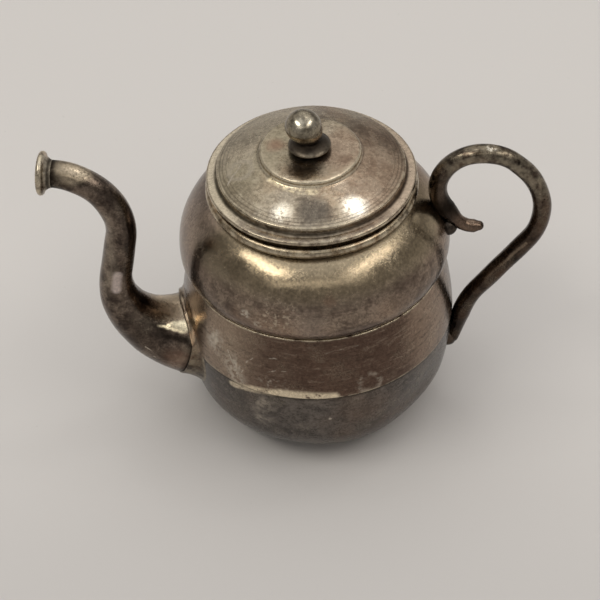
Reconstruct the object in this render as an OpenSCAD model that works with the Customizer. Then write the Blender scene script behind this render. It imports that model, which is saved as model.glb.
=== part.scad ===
// Toy teapot in thin sheet metal: a gourd-shaped pot spun in three pieces and soldered at
// its crease and its seam, a rolled mouth ring, a swan-neck spout on a flared collar, a
// question-mark wire handle and a loose lid with a turned ball knob.
// Millimetres, +Z up. The origin is on the pot's axis, on the surface that the foot stands
// on. The handle points along +X and the spout towards -X.

/* [Body] */
// Thickness of the sheet metal of the pot
pot_wall = 0.8; // [0.6:0.1:1.1]
// Radius of the upper bulge at its widest
bulge_r = 29; // [28:0.25:30]
// Height of the upper bulge's widest line above the crease
bulge_h = 5; // [4.5:0.1:5.5]
// Radius of the shoulder's curve above that line
shoulder_round = 14; // [13.5:0.25:14.5]
// How far the upper bulge is set back from the barrel at the crease between them
crease_step = 0.32; // [0.2:0.04:0.48]
// Height of the crease above the seam
barrel_h = 15.3; // [14.8:0.1:15.8]
// How far the barrel stands out past the upper bulge
barrel_swell = 0.7; // [0.2:0.1:1.2]
// How far the barrel's widest line lies below the seam
barrel_sag = 2.2; // [1.2:0.2:3.2]
// Radius of the barrel's long curve
barrel_round = 68; // [60:1:90]
// Height of the seam between the barrel and the bowl
seam_z = 24.6; // [24:0.1:25.2]
// How far the barrel stands proud of the bowl at the seam
seam_step = 0.3; // [0.1:0.05:0.5]
// Radius of the curve at the bottom of the bowl
bowl_round = 13.2; // [12.6:0.1:13.8]
// Lean of the bowl's side where it meets that curve
bowl_turn = 12; // [11:0.25:13]

/* [Foot and mouth] */
// How far the foot ring stands out past the flat bottom of the bowl
foot_out = 1.7; // [1:0.1:2.4]
// Height of the foot ring
foot_h = 1.2; // [1:0.1:1.6]
// Width of the foot ring
foot_w = 1.8; // [1.4:0.1:2.4]
// How far the neck is set back from the upper bulge's widest line
neck_in = 8.2; // [8:0.1:8.6]
// Radius of the hollow between the shoulder and the neck
neck_fillet = 0.8; // [0.5:0.1:1]
// Radius of the rolled mouth ring's section
ring_round = 1.2; // [1:0.1:1.3]
// How far the rolled mouth ring stands out from the neck
ring_out = 1.7; // [1.4:0.1:1.9]
// Height of the rolled mouth ring's centre above the hollow at the foot of the neck
ring_rise = 1.15; // [1.05:0.05:1.4]
// Depth of the rolled mouth ring's centre below the top of the neck
ring_drop = 2.1; // [2:0.1:2.3]

/* [Lid] */
// Thickness of the sheet metal of the lid
lid_wall = 0.8; // [0.6:0.1:1]
// How far the lid reaches out past the neck
lid_out = 1.4; // [1:0.1:2]
// Radius of the rounded edge
lid_edge_round = 0.6; // [0.5:0.05:0.7]
// Gap between the neck and the seated lid
lid_seat_gap = 0.15; // [0.1:0.05:0.3]
// How far the raised part of the lid is set back from the neck
step_in = 0.9; // [0.6:0.1:1.3]
// Height of the raised part above the lid's flat edge
step_h = 1.7; // [1.2:0.1:2.2]
// Radius of the hollow at the foot of the raised part
cove_round = 0.8; // [0.4:0.1:1]
// Rise of the dome from its edge to its crown
dome_rise = 4.4; // [3.8:0.1:5]
// Radius of the round boss in the middle
boss_r = 10.7; // [9.5:0.1:12]
// Height of the boss above the dome's crown
boss_rise = 0.3; // [0.2:0.1:0.8]
// Radius of the boss's rounded edge
boss_round = 0.5; // [0.3:0.1:0.7]
// Depth of the flange that centres the lid in the neck
flange_depth = 4; // [3:0.25:6]
// Gap between the flange and the neck
flange_gap = 0.4; // [0.3:0.05:0.6]

/* [Knob] */
// Radius of the ball
ball_r = 3.85; // [3.4:0.05:4.2]
// Height of the ball's centre above the boss
ball_h = 5.8; // [5.6:0.1:6.4]
// Radius of the knob's foot
knob_foot_r = 3.3; // [2.8:0.1:3.8]
// Radius of the knob's sharp flange
knob_flange_r = 4.5; // [4:0.1:5]
// Height of the knob's sharp flange above the boss
knob_flange_h = 1.2; // [1:0.1:1.5]
// Radius of the neck under the ball
knob_neck_r = 2.3; // [1.9:0.1:2.6]
// Radius of the shank that goes through the lid
shank_r = 1.2; // [1:0.1:1.5]
// Radius of the shank's riveted head
rivet_r = 2.2; // [2:0.1:2.8]
// Thickness of the shank's riveted head
rivet_h = 0.8; // [0.6:0.1:1.2]

/* [Spout] */
// Angle between the spout and the line of the handle
spout_turn = 14; // [0:1:16]
// How far the spout's centre line lies below the seam at the collar's end
spout_drop = 1.9; // [1.6:0.1:2.2]
// Angle of the spout above level there
spout_rise = 16; // [15:0.5:17]
// How far the collar's end stands off the side of the pot
collar_len = 0.6; // [0.4:0.1:1.4]
// How far the collar stands out round the end of the tube
collar_w = 0.2; // [0.1:0.1:0.4]
// How far the collar spreads into a skirt on the pot
skirt_out = 1; // [0.7:0.1:1.3]
// Thickness of the skirt
skirt_w = 0.9; // [0.7:0.1:1.2]
// Outer radius of the tube at the collar
tube_root_r = 9.1; // [8.9:0.1:9.3]
// Radius of the lower bend
low_bend_r = 18.5; // [18:0.1:19]
// Angle of the lower bend
low_bend_turn = 85.5; // [84:0.5:87]
// Length of the straight part between the bends
mid_len = 8.8; // [7:0.2:10]
// Radius of the upper bend
top_bend_r = 13.9; // [13:0.1:15]
// Angle of the upper bend
top_bend_turn = 98.5; // [94:0.5:102]
// Angle by which the upper bend is turned aside about the straight part
swing_turn = 16.5; // [12:0.5:20]
// Length of the straight part at the tip
tip_len = 0.2; // [0.1:0.1:1.1]
// Outer radius of the tube above the lower bend
tube_mid_r = 3.45; // [3.3:0.05:3.8]
// Outer radius of the tube at its tip
tube_tip_r = 2.85; // [2.8:0.05:3.1]
// Thickness of the tube's wall
tube_wall = 0.7; // [0.5:0.05:0.8]
// How far the lip flares out from the tube
lip_out = 1.85; // [1.55:0.1:2.35]
// Length of the lip's flare
lip_flare_len = 1.2; // [0.9:0.1:1.9]
// Radius of the lip's rounded edge
lip_edge_round = 0.7; // [0.5:0.1:0.9]
// Radius of the pouring hole in the pot
pour_hole_r = 5; // [4:0.25:6]

/* [Handle] */
// Radius of the wire
wire_r = 2; // [1.7:0.1:2.2]
// Radius of the wire at the tip of the tail
tail_tip_r = 1.3; // [1:0.1:1.5]
// Radius of the wire through the curl
curl_r = 1.5; // [1.4:0.05:1.7]
// Radius of the wire at the tip of the curl
curl_tip_r = 1.1; // [0.9:0.1:1.3]
// How far the tip of the tail lies below the seam
tail_drop = 9.9; // [9.6:0.1:10.2]
// Angle between the tail and the side of the bowl
tail_turn = 4.85; // [4.35:0.25:5.85]
// How deep the tail is filed to fit the pot
tail_sink = 0.2; // [0.1:0.05:0.25]
// Length of the straight tail
tail_len = 7.6; // [7.4:0.1:7.8]
// Radius of the bend above the tail
heel_bend_r = 22; // [21:0.5:23]
// Lean above level of the long straight part
grip_lean = 53.5; // [53:0.5:54.5]
// Lean above level of the wire as it runs up to the top, where over 90 leans back to the pot
crest_lean = 137; // [135:0.5:139]
// Length of the straight part there
crest_len = 0.8; // [0.6:0.1:1.2]
// Radius of the bend over the top
over_bend_r = 9.7; // [9.5:0.05:9.9]
// Angle above the bulge's widest line where the wire comes down on the shoulder
seat_lean = 35; // [34:0.5:36]
// How deep the wire is filed there to fit the shoulder
seat_sink = 0.55; // [0.5:0.05:0.6]
// Length from there to the end of the bend over the top
seat_len = 1.2; // [1:0.1:1.4]
// Length of the straight part that lies on the shoulder
shoulder_len = 3.6; // [3.2:0.1:4.2]
// Radius of the curl
curl_bend_r = 4.6; // [4.2:0.1:5]
// Angle of the curl
curl_bend_turn = 56; // [52:1:62]
// Length of the curl's tapering tip
curl_len = 1; // [0.7:0.1:1.6]
// Radius of the solder under the curl and round the tail
solder_r = 2.1; // [1.9:0.1:2.4]
// Angle of the upper solder above the bulge's widest line
solder_lean = 12; // [8:1:16]

/* [Hidden] */
$fn = 96;
// Facets of a circle in the solder
fine = 256;
// Overrun of cuts past a face
cut = 1;
// Gap left by the film of solder between soldered pieces
film = 0.04;
// How much thinner the wire's straight runs are than its bends
wire_step = 0.02;
// How far a straight run of the wire reaches into a bend
wire_lap = 0.3;

// Barrel and bulge
crease_z = seam_z + barrel_h;
bulge_z = crease_z + bulge_h;
barrel_r = bulge_r + barrel_swell;
barrel_z = seam_z - barrel_sag;
crease_r = barrel_r - barrel_round + sqrt(pow(barrel_round, 2) - pow(crease_z - barrel_z, 2)) - crease_step;
// Radius of the curve that tucks in from the bulge to the crease
tuck_round = (pow(bulge_r - crease_r, 2) + pow(bulge_h, 2)) / (2 * (bulge_r - crease_r));
// Bowl and foot
bowl_r = barrel_r - seam_step;
bowl_z = foot_h + bowl_round;
bowl_side_round = bowl_round + (seam_z - bowl_z) / sin(bowl_turn);
bowl_side_x = bowl_r - bowl_side_round;
bowl_x = bowl_side_x + (bowl_side_round - bowl_round) * cos(bowl_turn);
foot_r = bowl_x + foot_out;
// Mouth
shoulder_x = bulge_r - shoulder_round;
neck_r = bulge_r - neck_in;
fillet_x = neck_r + neck_fillet;
fillet_z = bulge_z + sqrt(pow(shoulder_round + neck_fillet, 2) - pow(fillet_x - shoulder_x, 2));
ring_r = neck_r + ring_out;
ring_x = ring_r - ring_round;
ring_z = fillet_z + ring_rise;
mouth_z = ring_z + ring_drop;
// Lid
lid_r = neck_r + lid_out;
step_r = neck_r - step_in;
lid_z = mouth_z + lid_seat_gap;
plate_z = lid_z + 2 * lid_edge_round;
step_z = plate_z + step_h;
dome_r = (pow(step_r, 2) + pow(dome_rise, 2)) / (2 * dome_rise);
dome_z = step_z + dome_rise - dome_r;
boss_h = dome_rise + boss_rise;
boss_z = step_z + boss_h;
flange_r = neck_r - pot_wall - flange_gap;
// Knob
ball_z = boss_z + ball_h;

// A place on a centre line is [distance from the axis, height, heading].
function ahead(p, len) = [p[0] + len * cos(p[2]), p[1] + len * sin(p[2]), p[2]];
function turned(p, r, turn) =
    let (s = sign(turn), h = p[2] + turn)
    [p[0] + s * r * (sin(h) - sin(p[2])), p[1] - s * r * (cos(h) - cos(p[2])), h];

// Collar and lip
spout_root_z = seam_z - spout_drop;
collar_r = tube_root_r + collar_w;
skirt_r = collar_r + skirt_out;
lip_r = tube_tip_r + lip_out;
// Spout: places along its centre line
tube_root = [bowl_r + collar_len, spout_root_z, spout_rise];
tube_low = turned(tube_root, low_bend_r, low_bend_turn);
tube_mid = ahead(tube_low, mid_len);
tube_top = turned(tube_mid, top_bend_r, -top_bend_turn);
tube_tip = ahead(tube_top, tip_len);
tube_sides = 24;
low_steps = 14;
top_steps = 12;
// How quickly the tube narrows through the lower bend
taper_power = 1.6;
// How far the tube has narrowed to its tip size after the straight and after the upper bend
taper_shares = [0.25, 0.95, 1];

function low_r(t) = tube_mid_r + (tube_root_r - tube_mid_r) * pow(1 - t, taper_power);
function high_r(t) = tube_mid_r + (tube_tip_r - tube_mid_r) * t;
// Each station is [place, outer radius, swing].
tube_stations = concat(
    [for (i = [0 : low_steps])
        [turned(tube_root, low_bend_r, low_bend_turn * i / low_steps), low_r(i / low_steps), 0]],
    [for (i = [0 : top_steps])
        [turned(tube_mid, top_bend_r, -top_bend_turn * i / top_steps),
         high_r(taper_shares[0] + (taper_shares[1] - taper_shares[0]) * i / top_steps), swing_turn]],
    [[tube_tip, high_r(taper_shares[2]), swing_turn]]
);

// Handle: the tail starts on the bowl and the wire comes down on the shoulder, and the long straight
// part and the outer bend are as long as it takes to join them.
function bowl_skin(z) = bowl_side_x + sqrt(pow(bowl_side_round, 2) - pow(seam_z - z, 2));
tail_z = seam_z - tail_drop;
tail_rise = 90 - asin(tail_drop / bowl_side_round) - tail_turn;
tail_tip = [bowl_skin(tail_z) + tail_tip_r - tail_sink, tail_z, tail_rise];
heel = ahead(tail_tip, tail_len);
heel_bend_turn = tail_rise - grip_lean;
grip = turned(heel, heel_bend_r, -heel_bend_turn);
seat_r = shoulder_round + wire_r - seat_sink;
seat = [shoulder_x + seat_r * cos(seat_lean), bulge_z + seat_r * sin(seat_lean), seat_lean + 270];
down = ahead(seat, seat_len);
outer_bend_turn = crest_lean - grip_lean;
over_bend_turn = seat[2] - crest_lean;
// What the grip and the outer bend have to span
crest_to_down = turned(ahead([0, 0, crest_lean], crest_len), over_bend_r, over_bend_turn);
span = [down[0] - grip[0] - crest_to_down[0], down[1] - grip[1] - crest_to_down[1]];
// The same two as vectors for a length of 1 and a radius of 1
grip_way = [cos(grip_lean), sin(grip_lean)];
outer_way = turned([0, 0, grip_lean], 1, outer_bend_turn);
way_cross = grip_way[0] * outer_way[1] - grip_way[1] * outer_way[0];
grip_len = (span[0] * outer_way[1] - span[1] * outer_way[0]) / way_cross;
outer_bend_r = (grip_way[0] * span[1] - grip_way[1] * span[0]) / way_cross;
outer = ahead(grip, grip_len);
crest = turned(outer, outer_bend_r, outer_bend_turn);
over = ahead(crest, crest_len);
curl = ahead(down, shoulder_len);
curl_end = turned(curl, curl_bend_r, curl_bend_turn);
curl_tip = ahead(curl_end, curl_len);

// Outlines are half sections: x is the distance from the axis, y the height.

// Upper piece, with every surface moved inwards by d.
module upper_outline(d) {
    intersection() {
        translate([shoulder_x, bulge_z]) circle(shoulder_round - d);
        translate([0, bulge_z]) square([bulge_r - d, mouth_z - bulge_z]);
    }
    intersection() {
        translate([bulge_r - tuck_round, bulge_z]) circle(tuck_round - d);
        translate([0, crease_z]) square([bulge_r - d, bulge_z - crease_z]);
    }
    translate([0, crease_z]) square([bulge_r - tuck_round, bulge_z - crease_z]);
    translate([0, bulge_z]) square([neck_r - d, mouth_z - bulge_z]);
}

// Barrel, between the crease and the seam.
module barrel_outline(d) {
    intersection() {
        translate([barrel_r - barrel_round, barrel_z]) circle(barrel_round - d, $fn = 4 * $fn);
        translate([0, seam_z]) square([barrel_r - d, crease_z - seam_z]);
    }
}

// Bowl, below the seam.
module bowl_outline(d) {
    join_z = bowl_z - (bowl_round - d) * sin(bowl_turn);
    intersection() {
        translate([bowl_side_x, seam_z]) circle(bowl_side_round - d, $fn = 4 * $fn);
        translate([0, join_z]) square([bowl_r - d, seam_z - join_z]);
    }
    intersection() {
        translate([bowl_x, bowl_z]) circle(bowl_round - d);
        translate([0, foot_h + d]) square([bowl_r - d, join_z - foot_h - d]);
    }
    translate([0, foot_h + d]) square([bowl_x, join_z - foot_h - d]);
}

// Lid without its edge, with every surface moved inwards by d.
module lid_outline(d) {
    intersection() {
        translate([0, dome_z]) circle(dome_r - d, $fn = 4 * $fn);
        translate([0, lid_z]) square([step_r - d, boss_z - lid_z]);
    }
    translate([0, lid_z]) square([boss_r - d, boss_z - boss_round - lid_z]);
    translate([0, lid_z]) square([boss_r - boss_round - d, boss_z - d - lid_z]);
    translate([boss_r - boss_round - d, boss_z - boss_round - d]) circle(boss_round);
}

// A hollow quarter that rounds the corner at the origin.
module hollow_corner(r) {
    difference() {
        square(r);
        translate([r, r]) circle(r);
    }
}

// The pot's outer form, grown by d.
module pot_form(d) {
    rotate_extrude() {
        upper_outline(-d);
        barrel_outline(-d);
        bowl_outline(-d);
    }
}

// Places a piece on a centre line, pointing along it, for a part that lies along +X.
module on_line(p) {
    translate([p[0], 0, p[1]]) rotate([0, 90 - p[2], 0]) children();
}

module spout_side() {
    rotate([0, 0, 180 + spout_turn]) children();
}

module upper_body() {
    color("#8d8271") rotate_extrude() {
        difference() {
            union() {
                upper_outline(0);
                difference() {
                    translate([neck_r, bulge_z]) square([neck_fillet, fillet_z - bulge_z]);
                    translate([fillet_x, fillet_z]) circle(neck_fillet);
                }
            }
            upper_outline(pot_wall);
        }
    }
}

// Hole in the pot's wall behind the collar, with the seat that the end of the tube stands in.
module pour_hole() {
    spout_side() on_line(tube_root) {
        cylinder(r = pour_hole_r, h = 2 * pour_hole_r, center = true);
        translate([0, 0, -film]) cylinder(r = tube_root_r + film, h = tube_root_r);
    }
}

module barrel() {
    color("#7a6f62") difference() {
        rotate_extrude() difference() {
            barrel_outline(0);
            barrel_outline(pot_wall);
        }
        pour_hole();
    }
}

module base_bowl() {
    color("#6b6259") difference() {
        rotate_extrude() difference() {
            bowl_outline(0);
            bowl_outline(pot_wall);
        }
        pour_hole();
    }
}

module foot_ring() {
    color("#5d554d") rotate_extrude() difference() {
        translate([foot_r - foot_w, 0]) square([foot_w, foot_h + pot_wall]);
        bowl_outline(0);
    }
}

module mouth_ring() {
    color("#a3977f") rotate_extrude() difference() {
        translate([ring_x, ring_z]) circle(ring_round);
        translate([0, ring_z - ring_round]) square([neck_r, 2 * ring_round]);
    }
}

module lid_cover() {
    color("#9a9080") rotate_extrude() difference() {
        union() {
            translate([0, lid_z]) square([lid_r - lid_edge_round, 2 * lid_edge_round]);
            translate([lid_r - lid_edge_round, lid_z + lid_edge_round]) circle(lid_edge_round);
            translate([step_r, plate_z]) hollow_corner(cove_round);
            lid_outline(0);
        }
        lid_outline(lid_wall);
        translate([0, lid_z]) square([shank_r, boss_z]);
    }
}

module lid_flange() {
    color("#847a6c") translate([0, 0, lid_z - flange_depth]) difference() {
        cylinder(r = flange_r, h = flange_depth);
        translate([0, 0, -cut]) cylinder(r = flange_r - lid_wall, h = flange_depth + 2 * cut);
    }
}

module knob() {
    color("#a49a80") rotate_extrude() difference() {
        union() {
            translate([0, ball_z]) circle(ball_r);
            polygon([
                [0, boss_z],
                [knob_foot_r, boss_z],
                [knob_flange_r, boss_z + knob_flange_h],
                [knob_neck_r, boss_z + 2 * knob_flange_h],
                [knob_neck_r, ball_z],
                [0, ball_z]
            ]);
            translate([0, boss_z - lid_wall]) square([shank_r, lid_wall]);
            translate([0, boss_z - lid_wall - rivet_h]) square([rivet_r, rivet_h]);
        }
        translate([-ball_r, boss_z - lid_wall - rivet_h]) square([ball_r, ball_z + ball_r]);
    }
}

// Swings a piece about the straight part between the spout's bends.
module swing_aside() {
    on_line(tube_mid) rotate([0, 0, -swing_turn]) rotate([0, tube_mid[2] - 90, 0])
        translate([-tube_mid[0], 0, -tube_mid[1]]) children();
}

// The spout's pieces are drawn along +X and turned to their side.
module spout_collar() {
    color("#8f8069") difference() {
        union() {
            spout_side() on_line(tube_root) mirror([0, 0, 1]) cylinder(r = collar_r, h = skirt_r);
            intersection() {
                spout_side() on_line(tube_root) mirror([0, 0, 1]) cylinder(r = skirt_r, h = skirt_r);
                pot_form(skirt_w);
            }
        }
        spout_side() on_line(tube_root)
            cylinder(r = tube_root_r - tube_wall, h = 2 * (skirt_r + cut), center = true);
        pot_form(film);
    }
}

// A point swung about the straight part between the bends.
function swung(q, turn) =
    let (h = tube_mid[2], x = q[0] - tube_mid[0], z = q[2] - tube_mid[1])
    let (along = x * cos(h) + z * sin(h), across = z * cos(h) - x * sin(h))
    let (out = across * cos(turn) - q[1] * sin(turn), side = across * sin(turn) + q[1] * cos(turn))
    [tube_mid[0] + along * cos(h) - out * sin(h), side, tube_mid[1] + along * sin(h) + out * cos(h)];

// One ring of points round a station, d inside the tube's outer surface.
function tube_ring(s, d) =
    let (p = s[0], r = s[1] - d)
    [for (k = [0 : tube_sides - 1])
        let (a = 360 * k / tube_sides - s[2])
        swung([p[0] - r * cos(a) * sin(p[2]), r * sin(a), p[1] + r * cos(a) * cos(p[2])], s[2])];

module spout_tube() {
    n = len(tube_stations);
    m = tube_sides;
    points = concat(
        [for (s = tube_stations) each tube_ring(s, 0)],
        [for (s = tube_stations) each tube_ring(s, tube_wall)]
    );
    inner = n * m;
    last = (n - 1) * m;
    faces = [for (k = [0 : m - 1]) let (j = (k + 1) % m) each concat(
        [for (i = [0 : n - 2]) each [
            [i * m + k, i * m + j, (i + 1) * m + j],
            [i * m + k, (i + 1) * m + j, (i + 1) * m + k],
            [inner + i * m + k, inner + (i + 1) * m + j, inner + i * m + j],
            [inner + i * m + k, inner + (i + 1) * m + k, inner + (i + 1) * m + j]]],
        [[k, inner + k, j],
         [j, inner + k, inner + j],
         [last + k, last + j, inner + last + k],
         [last + j, inner + last + j, inner + last + k]]
    )];
    color("#7d7466") spout_side() polyhedron(points, faces, convexity = 6);
}

module spout_lip() {
    color("#a59a80") spout_side() swing_aside() on_line(tube_tip) rotate_extrude() difference() {
        union() {
            square([tube_tip_r, lip_flare_len + 2 * lip_edge_round]);
            polygon([
                [tube_tip_r, 0],
                [lip_r - lip_edge_round, lip_flare_len],
                [lip_r - lip_edge_round, lip_flare_len + 2 * lip_edge_round],
                [tube_tip_r, lip_flare_len + 2 * lip_edge_round]
            ]);
            translate([lip_r - lip_edge_round, lip_flare_len + lip_edge_round]) circle(lip_edge_round);
        }
        polygon([
            [0, 0],
            [tube_tip_r - tube_wall, 0],
            [tube_tip_r - tube_wall, lip_flare_len],
            [lip_r - 2 * lip_edge_round, lip_flare_len + 2 * lip_edge_round],
            [0, lip_flare_len + 2 * lip_edge_round]
        ]);
    }
}

// The handle lies in the plane of X and Z.

// A bend of the wire from place p, with a left turn positive.
module wire_bend(p, r, turn, w) {
    translate([p[0], 0, p[1]]) rotate([90, 0, 0]) rotate([0, 0, p[2]])
        mirror([0, turn < 0 ? 1 : 0, 0]) translate([0, r, 0]) rotate([0, 0, -90])
            rotate_extrude(angle = abs(turn)) translate([r, 0]) circle(w);
}

// A straight run of the wire from place p, that reaches into the bend at each end.
module wire_run(p, run, w, w_end) {
    on_line(p) translate([0, 0, -wire_lap])
        cylinder(r1 = w - wire_step, r2 = w_end - wire_step, h = run + 2 * wire_lap);
}

// A tapering end of the wire, with its round tip at place p and reaching into the bend after it.
module wire_end(p, run, tip, w) {
    on_line(p) rotate_extrude() {
        intersection() {
            circle(tip);
            translate([0, -tip]) square([tip, tip]);
        }
        polygon([[0, 0], [tip, 0], [w - wire_step, run + wire_lap], [0, run + wire_lap]]);
    }
}

// The whole wire, grown by d.
module wire(d) {
    wire_end(tail_tip, tail_len, tail_tip_r + d, wire_r + d);
    wire_bend(heel, heel_bend_r, -heel_bend_turn, wire_r + d);
    wire_run(grip, grip_len, wire_r + d, wire_r + d);
    wire_bend(outer, outer_bend_r, outer_bend_turn, wire_r + d);
    wire_run(crest, crest_len, wire_r + d, wire_r + d);
    wire_bend(over, over_bend_r, over_bend_turn, wire_r + d);
    wire_run(down, shoulder_len, wire_r + d, curl_r + d);
    wire_bend(curl, curl_bend_r, curl_bend_turn, curl_r + d);
    wire_end([curl_tip[0], curl_tip[1], curl_tip[2] + 180], curl_len, curl_tip_r + d, curl_r + d);
}

module handle() {
    color("#857a69") difference() {
        wire(0);
        pot_form(film);
    }
}

// Solder in the wedge under the curl.
module handle_upper_solder() {
    color("#3f3a35") difference() {
        translate([shoulder_x, 0, bulge_z]) rotate([0, -solder_lean, 0]) translate([shoulder_round, 0, 0])
            sphere(solder_r, $fn = fine);
        pot_form(film, $fn = fine);
        wire(film, $fn = fine);
    }
}

// Solder round the end of the tail, against the pot.
module handle_lower_solder() {
    color("#4a443e") difference() {
        translate([bowl_skin(tail_z), 0, tail_z]) sphere(solder_r, $fn = fine);
        pot_form(film, $fn = fine);
        wire(film, $fn = fine);
    }
}

upper_body();
barrel();
base_bowl();
foot_ring();
mouth_ring();
lid_cover();
lid_flange();
knob();
spout_collar();
spout_tube();
spout_lip();
handle();
handle_upper_solder();
handle_lower_solder();
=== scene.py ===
"""Looks of the toy teapot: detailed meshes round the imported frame, tarnished metal, floor and light.

The pot's sizes are in millimetres, the floor's and the lamps' in metres. The frame is the part's own:
origin on the pot's axis at the foot, +Z up, handle along +X, spout at -X turned 14 degrees towards -Y.
"""

import math

import bmesh
import bpy
import numpy as np
from mathutils import Matrix, Vector


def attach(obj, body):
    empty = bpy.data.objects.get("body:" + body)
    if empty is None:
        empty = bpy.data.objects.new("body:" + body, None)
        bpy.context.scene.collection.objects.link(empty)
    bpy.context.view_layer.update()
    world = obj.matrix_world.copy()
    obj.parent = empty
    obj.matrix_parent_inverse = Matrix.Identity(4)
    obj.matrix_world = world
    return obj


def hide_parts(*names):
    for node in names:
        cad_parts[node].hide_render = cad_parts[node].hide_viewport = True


MM = 0.001
FLOOR_R = 3.0
LAMP_AIM = (0, 0, 0.04)

# Sizes shared with the part's source, in millimetres and degrees. A circle of an outline is (x, z, radius),
# and a bend of the spout is (radius, turn).
POT_WALL = 0.8
SHOULDER = (15.0, 44.9, 14.0)
TUCK = (21.502, 44.9, 7.498)
BARREL = (-38.3, 22.4, 68.0)
BOWL_SIDE = (-32.863, 24.6, 62.263)
BOWL_FLOOR = (15.128, 14.4, 13.2)
BOWL_JOIN = -12
CREASE_Z = 39.9
SEAM_Z = 24.6
NECK_R = 20.8
NECK_FILLET = (21.6, 58.147, 0.8)
MOUTH_Z = 61.4
RING = (21.3, 59.3, 1.2)
LID_Z = 61.55
LID_EDGE = (21.6, 62.15, 0.6)
LID_COVE = (20.7, 63.55, 0.8)
LID_WALL = 0.8
DOME = (0.0, 21.646, 47.204)
STEP_R = 19.9
BOSS_R = 10.7
BOSS_Z = 69.15
BOSS_ROUND = 0.6
BALL = (0.0, 74.95, 3.85)
KNOB_NECK_R = 2.3
SPOUT_TURN = 14.0
SPOUT_ROOT = (30.0, 22.7, 16.0)
LOW_BEND = (18.5, 85.5)
SPOUT_RISE = 8.8
TOP_BEND = (13.9, -98.5)
TIP_RUN = 0.2
SPOUT_SWING = 16.5
POUR_HOLE_R = 5.0
TUBE_ROOT_R = 9.1
TUBE_MID_R = 3.45
TUBE_TIP_R = 2.85
TUBE_WALL = 0.7
COLLAR_R = 9.35
WIRE_R = 2.0
TAIL_Z = 14.7
TAIL_RISE = 76.0
TAIL_R = 1.3
TAIL_SINK = 0.2
CURL_R = 1.5
CURL_TIP_R = 1.1
# The runs of the handle from its tail: (length, 0) of a straight one, (radius, turn in degrees) of a bend.
HANDLE_RUNS = ((7.6, 0), (22.0, -22.5), (17.2, 0), (16.0, 83.5), (0.8, 0), (9.7, 168.0),
               (3.6, 0), (4.6, 56.0), (1.0, 0))

# Details that only the looks have, in millimetres.
DENT_CENTRE = (22.0, -16.5, 13.0)
DENT_R = 9.5
DENT_DEPTH = 1.3
BARREL_ROUND = 0.28
NECK_FOOT_Z = 57.9
STEP_FOOT_Z = 62.9
STEP_TOP_Z = 64.45
FOOT_MARK_R = 16.8
HOLE_CUTTER_LENGTH = 12.0
STEP_ROUND = 0.35
BOSS_COVE_R = 0.9
BOSS_COVE_REACH = 1.15
KNOB_LEAN = 1.1
KNOB_LEAN_FROM = 1.3
KNOB_LEAN_SPAN = 4.5
COLLAR_BORE_R = 8.7
COLLAR_SPREAD = 2.0

# Waves of an uneven surface: (size, lobes round the piece, phase, twist along it). Sizes are in millimetres,
# and for the lip in shares of its radius.
POT_WAVES = ((0.09, 2, 0.9, 0.03), (0.06, 3, -1.4, -0.06), (0.035, 5, 0.0, 0.2), (0.02, 9, 2.0, -0.31))
TUBE_WAVES = ((0.05, 3, 0.0, 14), (0.035, 2, 0.0, -31), (0.02, 5, 0.0, 50))
WIRE_WAVES = ((0.035, 2, 0.0, 23), (0.03, 0, 1.0, 57), (0.02, 3, 0.0, -70))
LIP_WAVES = ((0.008, 2, 0.5, 0), (0.006, 3, 0.0, 0))


# Geometry


def arc(circle, start, end, steps):
    """Points on a circle (x, z, r) from angle start to end, in degrees."""
    x, z, r = circle
    angles = np.radians(np.linspace(start, end, steps))
    return [(x + r * math.cos(a), z + r * math.sin(a)) for a in angles]


def inset(circle, d):
    """The circle with its radius smaller by d."""
    return (circle[0], circle[1], circle[2] - d)


def angle_at(circle, z):
    """The angle at which a circle's right side reaches height z."""
    return math.degrees(math.asin((z - circle[1]) / circle[2]))


def angle_over(circle, x):
    """The angle at which a circle's upper half stands over x."""
    return math.degrees(math.acos((x - circle[0]) / circle[2]))


def top_z(circle, x):
    """The height of a circle's upper half over x."""
    return circle[1] + math.sqrt(circle[2] ** 2 - (x - circle[0]) ** 2)


def side_r(circle, z):
    """How far a circle's right side reaches at height z."""
    return circle[0] + np.sqrt(circle[2] ** 2 - (z - circle[1]) ** 2)


def bent(p, corner, q, steps):
    """Points of a curve from p to q, pulled towards a corner."""
    shares = np.linspace(0, 1, steps)
    return [tuple((1 - t) ** 2 * p + 2 * t * (1 - t) * corner + t * t * q) for t in shares]


def rounded(points, radius, steps=5):
    """A closed outline with its sharp corners rounded."""
    pts = [np.array(p, float) for p in points]
    out = []
    for before, here, after in zip([pts[-1]] + pts[:-1], pts, pts[1:] + [pts[0]]):
        a, b = before - here, after - here
        la, lb = np.linalg.norm(a), np.linalg.norm(b)
        if la < 1e-9 or lb < 1e-9:
            continue
        turn = math.degrees(math.acos(np.clip(a @ b / la / lb, -1, 1)))
        if turn > 150 or here[0] < 1e-6:
            out.append(tuple(here))
            continue
        reach = min(radius, 0.45 * la, 0.45 * lb)
        out += bent(here + a / la * reach, here, here + b / lb * reach, steps)
    return out


def rounded_run(start, corner, rest, radius):
    """Points from start to a corner, rounded into the run of points that follows it."""
    c = np.array(corner)
    a, b = np.array(start) - c, np.array(rest[0]) - c
    la, lb = np.linalg.norm(a), np.linalg.norm(b)
    reach = min(radius, 0.45 * la, 0.9 * lb)
    return bent(c + a / la * reach, c, c + b / lb * reach, 6) + list(rest)


def waves(terms, angle, along):
    """How far an uneven surface strays outwards, from its angle round the piece and the place along it."""
    return sum(size * np.sin(lobes * angle + phase + twist * along) for size, lobes, phase, twist in terms)


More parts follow.
